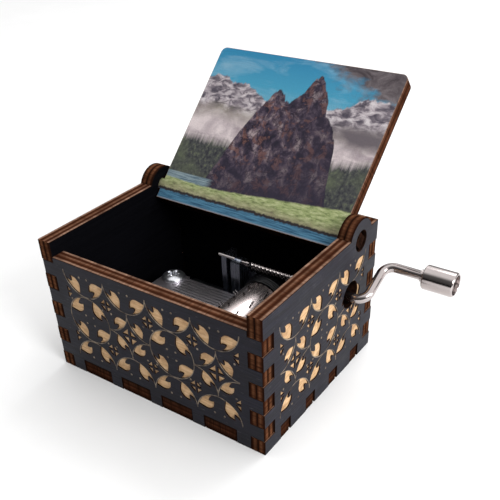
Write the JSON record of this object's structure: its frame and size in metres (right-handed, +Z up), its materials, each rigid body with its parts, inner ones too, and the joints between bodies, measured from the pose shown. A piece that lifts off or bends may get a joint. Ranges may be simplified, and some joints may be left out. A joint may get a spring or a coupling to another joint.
{
  "type": "hand-crank cylinder music box",
  "caption": "Small finger-jointed plywood box with a swinging lid, holding a hand-cranked movement whose worm turns a pinned drum against a steel comb.",
  "frame": {"origin": "centre of the case's underside, on the surface it stands on", "axes": "+X towards the crank, +Y towards the back (the lid's hinge side), +Z up"},
  "size_m": [0.086, 0.0738, 0.0652],
  "materials": {
    "bare_ply": "laser-cut birch plywood, burnt edges",
    "painted_ply": "black-stained plywood with a pale engraved leaf pattern",
    "lid_ply": "black-stained plywood, printed landscape inside",
    "zinc": "die-cast zinc, satin",
    "comb_steel": "satin hardened steel",
    "lead": "dull",
    "chrome": "bright plated",
    "polished_steel": "polished",
    "black_plastic": "moulded",
    "nickel": "nickel plated"
  },
  "bodies": {
    "case": {"base_panel": "bare_ply", "front_wall": "painted_ply", "back_wall": "painted_ply", "left_wall": "painted_ply", "right_wall": "painted_ply", "bedplate": "zinc", "rear_bracket": "zinc", "comb": "comb_steel", "comb_weights": "lead", "comb_screws": "chrome", "bracket_screws": "chrome", "mounting_screws": "chrome"},
    "lid": {"lid_panel": "lid_ply"},
    "drum": {"drum_sleeve": "polished_steel", "drum_pins": "polished_steel", "drum_end_plugs": "polished_steel", "drum_arbor": "polished_steel", "worm_wheel": "black_plastic"},
    "crank": {"crank_shaft": "nickel", "shaft_collars": "nickel"},
    "knob": {"crank_knob": "nickel"}
  },
  "joints": [
    {"name": "lid_hinge", "type": "hinge", "parent": "case", "child": "lid", "pos_m": [0, 0.0166, 0.0352], "axis": [1, 0, 0], "range_deg": [0, 137]},
    {"name": "crank_spin", "type": "hinge", "parent": "case", "child": "crank", "pos_m": [0.025, 0.01227, 0.02195], "axis": [1, 0, 0], "continuous": true},
    {"name": "drum_spin", "type": "hinge", "parent": "case", "child": "drum", "pos_m": [0.0088, 0, 0.014], "axis": [0, 1, 0], "continuous": true},
    {"name": "knob_spin", "type": "hinge", "parent": "crank", "child": "knob", "pos_m": [0.05, 0.02298, 0.02665], "axis": [1, 0, 0], "continuous": true}
  ],
  "couplings": [
    {"joint": "drum_spin", "follows": "crank_spin", "ratio": -0.026316}
  ]
}
